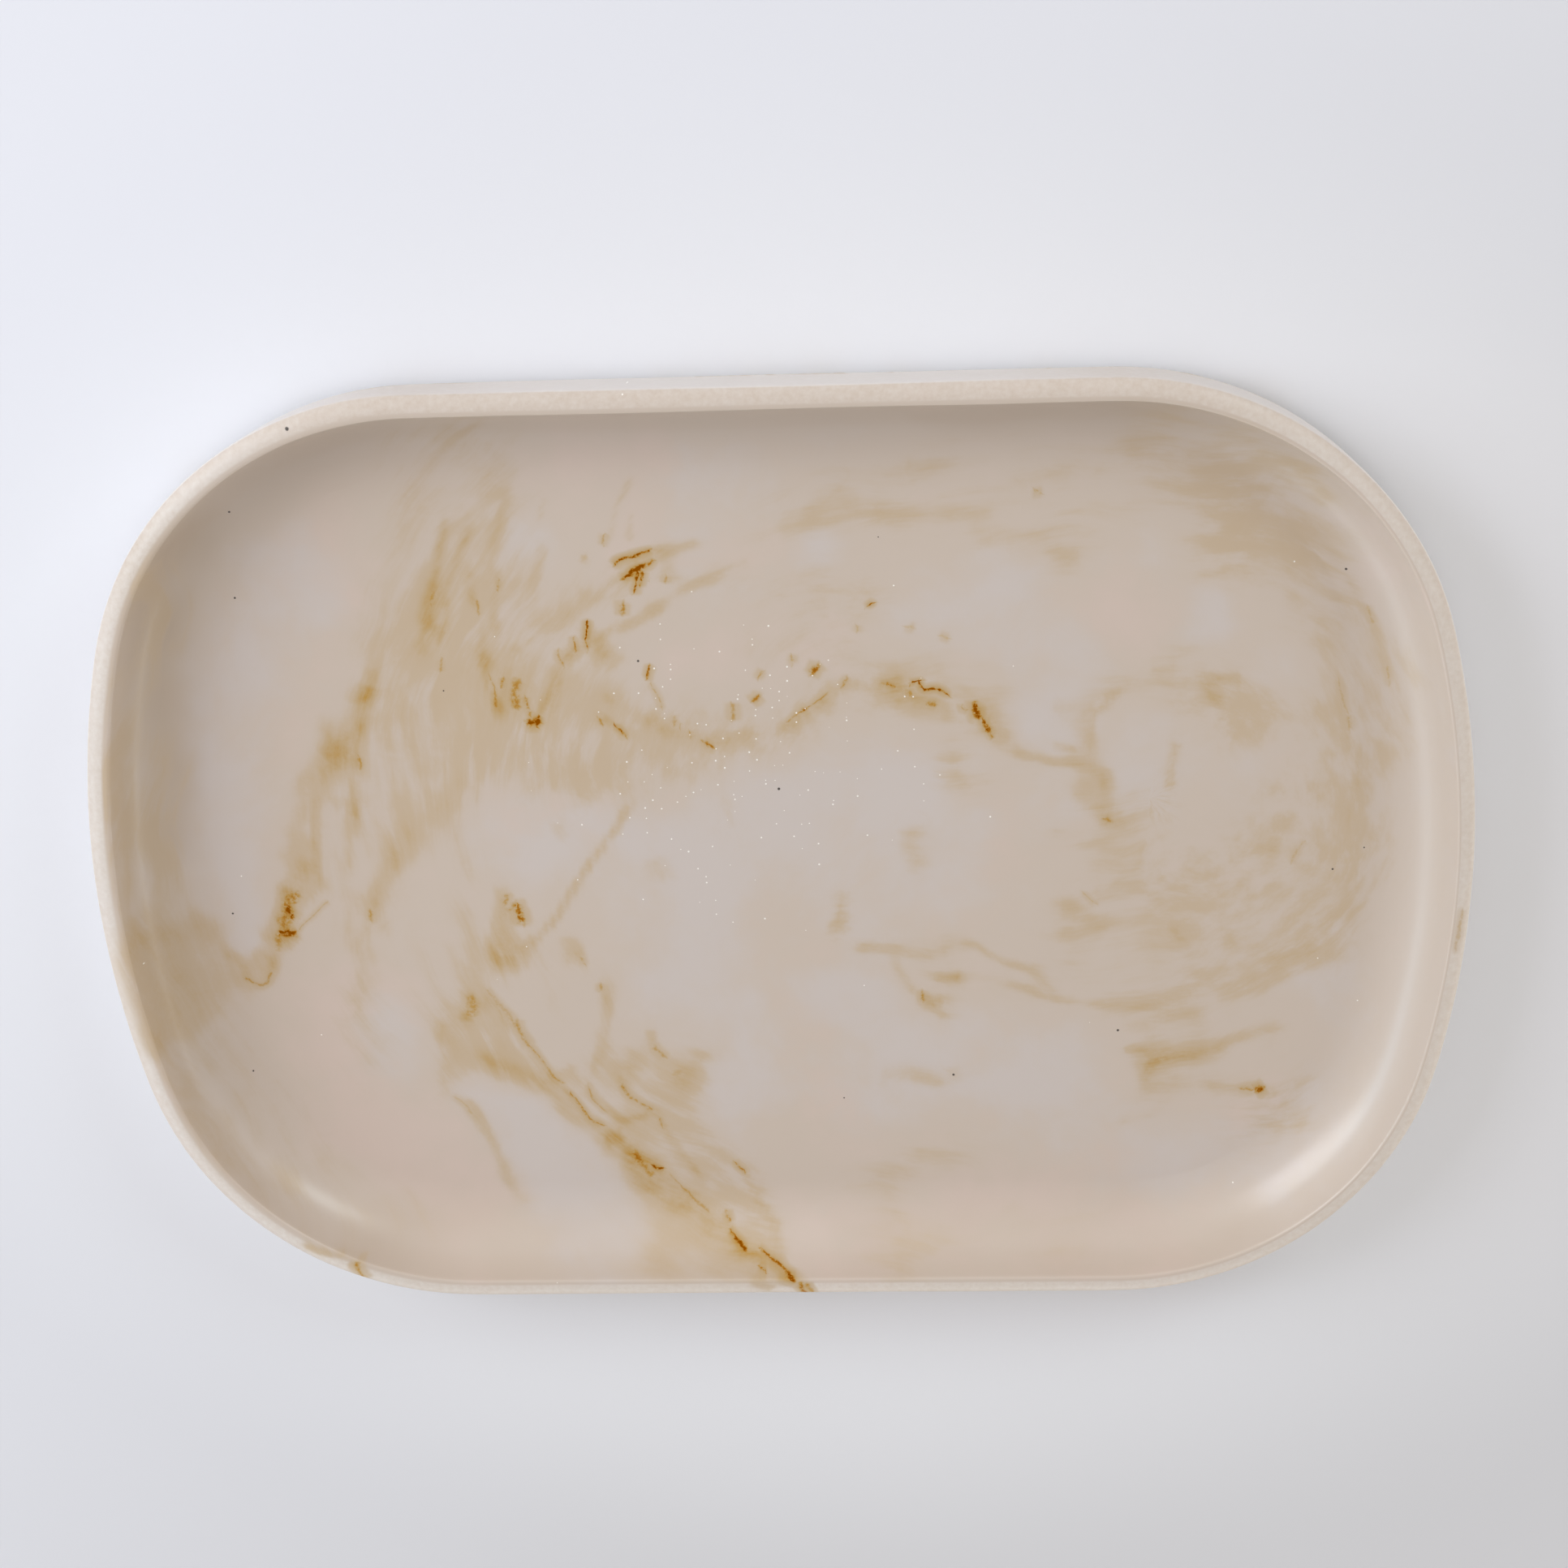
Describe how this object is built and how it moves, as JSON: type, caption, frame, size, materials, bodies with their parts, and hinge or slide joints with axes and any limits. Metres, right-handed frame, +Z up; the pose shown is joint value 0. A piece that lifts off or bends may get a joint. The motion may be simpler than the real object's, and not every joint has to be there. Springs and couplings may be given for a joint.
{
  "type": "tray",
  "caption": "Shallow cast-resin tray with bowed ends, round corners, a coved inside wall and a crowned rim, standing on small pads.",
  "frame": {"origin": "under the middle of the tray, on the surface that its pads stand on", "axes": "+X along the long side, +Y along the short side, +Z up out of the dish"},
  "size_m": [0.3, 0.213, 0.0222],
  "materials": {
    "cast_resin": "satin cast resin in warm cream, with soft clouds and brown marble veins",
    "pad_silicone": "matte pale grey silicone"
  },
  "bodies": {
    "root": {"tray_body": "cast_resin", "foot_pad_front_left": "pad_silicone", "foot_pad_front_right": "pad_silicone", "foot_pad_back_left": "pad_silicone", "foot_pad_back_right": "pad_silicone"}
  },
  "joints": []
}
